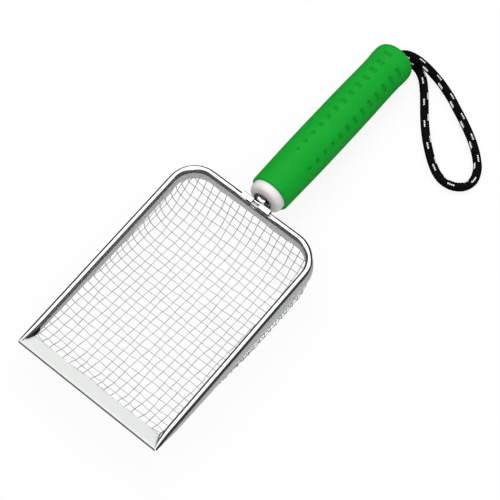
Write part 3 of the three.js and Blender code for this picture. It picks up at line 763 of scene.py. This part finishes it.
# Moulded polypropylene: a soft satin white, slightly see-through at its edges, with a faint mould skin.
white_plastic, tree, shader = new_material(
    "moulded_polypropylene",
    {"Roughness": 0.32, "IOR": 1.49, "Subsurface Weight": 0.12, "Subsurface Scale": 0.002},
)
place = add_node(tree, "TexCoord")
cloud = add_node(tree, "TexNoise", {"Vector": place.outputs["Object"], "Scale": 90, "Detail": 3})
tint = add_node(
    tree, "Mix", {0: cloud.outputs["Fac"], 6: colour("#e6e1e2"), 7: colour("#f1eeee")}, data_type="RGBA")
tree.links.new(tint.outputs[2], shader.inputs["Base Color"])
skin_noise = add_node(tree, "TexNoise", {"Vector": place.outputs["Object"], "Scale": 1200, "Detail": 1})
bump = add_node(tree, "Bump", {"Strength": 0.06, "Distance": 0.00005, "Height": skin_noise.outputs["Fac"]})
tree.links.new(bump.outputs["Normal"], shader.inputs["Normal"])
core = new_piece(
    "grip_core", on_axis(core_grid.reshape(-1, 3)), closed_skin(len(core_line), CORE_SIDES), [white_plastic])
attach(core, "handle")
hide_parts("handle_core")
dress("core_end_plug", white_plastic)
dress("threaded_insert", chrome("turned_brass", "#c2a05a", 0.25))

# ---------------------------------------------------------------------------
# The grip: soft thermoplastic rubber moulded over the core, a little waisted before its rounded end, with
# rows of shallow slots that get wider towards that end.
outside = [
    (13.3, 14), (14.2, 14), (14.8, 14.1), (15.15, 14.45), (15.3, 15.2), (15.38, 18), (15.5, 25),
    (15.65, 33), (15.85, 42), (16.1, 62), (16.1, 100), (15.95, 118), (15.7, 132), (15.6, 143),
    (15.65, 147.5), (15.88, 151), (16.08, 154.5), (16.1, 157), (15.95, 159.6), (15.45, 161.7),
    (14.5, 163.3), (13.1, 164.3), (11.5, 164.75), (10.2, 164.8), (8.9, 164.4), (7.8, 163.2),
    (7.0, 161.4), (6.8, 159.6),
]
curve = smooth_line([(r, s, 0) for r, s in outside], 0.34)[:, :2]
profile = np.concatenate([curve, [[13.3, 159.6]]])
GRIP_SIDES = 240
SLOTS, SLOT_FROM, SLOT_STEP, SLOT_LONG, SLOT_DEEP, SLOT_EDGE = 13, 48.0, 8.8, 2.6, 0.8, 0.5
SLOT_WIDE, SLOT_WIDENS, SLOT_R = 2.6, 0.45, 15.8
# Each row of slots: its place round the grip, in degrees, and how far it is shifted along it.
SLOT_ROWS = ((-13, 0), (50, -4.5), (167, 0), (230, -4.5))


def grip_radius(angle, s, n):
    """The grip's outline with its slots sunk into it; its rounded ends have none."""
    r = np.full_like(angle, profile[n][0])
    if r[0] < 15:
        return r
    for row_angle, shift in SLOT_ROWS:
        k = round((s - SLOT_FROM - shift) / SLOT_STEP)
        if not 0 <= k < SLOTS:
            continue
        off = abs(s - SLOT_FROM - shift - k * SLOT_STEP) - SLOT_LONG / 2
        wide = (SLOT_WIDE + SLOT_WIDENS * k) / 2
        away = (angle - math.radians(row_angle) + np.pi) % (2 * np.pi) - np.pi
        edge = np.maximum(np.abs(away) * SLOT_R - wide, off)
        r = r - SLOT_DEEP * (1 - np.clip(edge / SLOT_EDGE + 0.5, 0, 1))
    return r


grid = turned_grid(grip_radius, profile[:, 1], GRIP_SIDES)
faces = closed_skin(len(profile), GRIP_SIDES)


def soft_rubber(name, dark, light):
    # Soft-touch rubber: saturated green all the way through, a broad satin sheen and a fine spark-eroded
    # grain of about 0.2 mm.
    material, tree, shader = new_material(name, {"Roughness": 0.5, "Specular IOR Level": 0.12})
    place = add_node(tree, "TexCoord")
    cloud = add_node(tree, "TexNoise", {"Vector": place.outputs["Object"], "Scale": 55, "Detail": 4})
    tint = add_node(
        tree, "Mix", {0: cloud.outputs["Fac"], 6: colour(dark), 7: colour(light)}, data_type="RGBA")
    tree.links.new(tint.outputs[2], shader.inputs["Base Color"])
    grain = add_node(tree, "TexNoise", {"Vector": place.outputs["Object"], "Scale": 3500, "Detail": 2})
    bump = add_node(tree, "Bump", {"Strength": 0.12, "Distance": 0.00006, "Height": grain.outputs["Fac"]})
    tree.links.new(bump.outputs["Normal"], shader.inputs["Normal"])
    return material


rubber = soft_rubber("satin_thermoplastic_rubber", "#049b26", "#0ca62e")
# The slots' floors take a darker green: painted shade in the recesses.
slot_painted_shade = soft_rubber("slot_rubber_painted_shade", "#038d20", "#08982a")
sunk = profile[:, :1] - np.hypot(grid[..., 0], grid[..., 2])
in_slot = np.zeros(len(faces), int)
in_slot[: (len(profile) - 1) * GRIP_SIDES] = ((sunk[:-1] + sunk[1:]) / 2 > SLOT_DEEP / 2).reshape(-1)
grip = new_piece("moulded_grip", on_axis(grid.reshape(-1, 3)), faces, [rubber, slot_painted_shade], in_slot, sharp=60)
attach(grip, "handle")
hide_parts("grip_sleeve")

# ---------------------------------------------------------------------------
# The studio: a pale floor, a bright soft ceiling and a dark gap between them, which is seen only in
# reflections and draws the dark lines along the bright metal. The gap is highest on the four sides and
# lowest at the corners, like four black flags round a table.
GAP_TOP_FROM, GAP_TOP_TO, FLAG_RISE = 0.11, 0.23, 0.6
bpy.context.scene.view_settings.view_transform = "Standard"
floor = new_piece("studio_floor", [(-3, -3, 0), (3, -3, 0), (3, 3, 0), (-3, 3, 0)], [(0, 1, 2, 3)], [])
floor.location.z = -0.0002
paper, tree, shader = new_material("white_paper", {"Base Color": colour("#5a5a5a"), "Roughness": 0.9})
shader.inputs["Emission Color"].default_value = colour("#ffffff")
shader.inputs["Emission Strength"].default_value = 0.87
ray = add_node(tree, "LightPath")
gap = add_node(tree, "Emission", {"Color": colour("#3c3c3c"), "Strength": 1.0})
seen = add_node(tree, "MixShader", {0: ray.outputs["Is Glossy Ray"], 1: shader.outputs[0], 2: gap.outputs[0]})
tree.links.new(seen.outputs[0], tree.nodes["Material Output"].inputs["Surface"])
floor.data.materials.append(paper)

world = bpy.data.worlds.new("studio")
bpy.context.scene.world = world
world.use_nodes = True
tree = world.node_tree
ceiling = tree.nodes["Background"]
place = add_node(tree, "TexCoord")
height = add_node(tree, "SeparateXYZ", {"Vector": place.outputs["Generated"]})
squares = []
for k in (0, 1):
    squares.append(
        add_node(tree, "Math", {0: height.outputs[k], 1: height.outputs[k]}, operation="MULTIPLY"))
apart = add_node(tree, "Math", {0: squares[0].outputs[0], 1: squares[1].outputs[0]}, operation="SUBTRACT")
apart = add_node(tree, "Math", {0: apart.outputs[0]}, operation="ABSOLUTE")
both = add_node(tree, "Math", {0: squares[0].outputs[0], 1: squares[1].outputs[0]}, operation="ADD")
flag = add_node(tree, "Math", {0: apart.outputs[0], 1: both.outputs[0]}, operation="DIVIDE")
raised = add_node(
    tree, "Math", {0: flag.outputs[0], 1: -FLAG_RISE, 2: height.outputs["Z"]}, operation="MULTIPLY_ADD")
bright = add_node(tree, "MapRange", {
    "Value": raised.outputs[0], "From Min": GAP_TOP_FROM, "From Max": GAP_TOP_TO,
    "To Min": 0.03, "To Max": 1.0,
})
tree.links.new(bright.outputs["Result"], ceiling.inputs["Color"])
ceiling.inputs["Strength"].default_value = 1.4
ray = add_node(tree, "LightPath")
backdrop = add_node(tree, "Background", {"Color": colour("#fafafa"), "Strength": 1.0})
seen = add_node(
    tree, "MixShader", {0: ray.outputs["Is Camera Ray"], 1: ceiling.outputs[0], 2: backdrop.outputs[0]})
tree.links.new(seen.outputs[0], tree.nodes["World Output"].inputs["Surface"])

softbox_data = bpy.data.lights.new("overhead_softbox", "AREA")
softbox_data.shape, softbox_data.size, softbox_data.energy = "DISK", 1.0, 4
softbox = bpy.data.objects.new("overhead_softbox", softbox_data)
bpy.context.scene.collection.objects.link(softbox)
softbox.location = (-0.25, 0.35, 1.4)
softbox.rotation_euler = (-softbox.location).to_track_quat("-Z", "Y").to_euler()
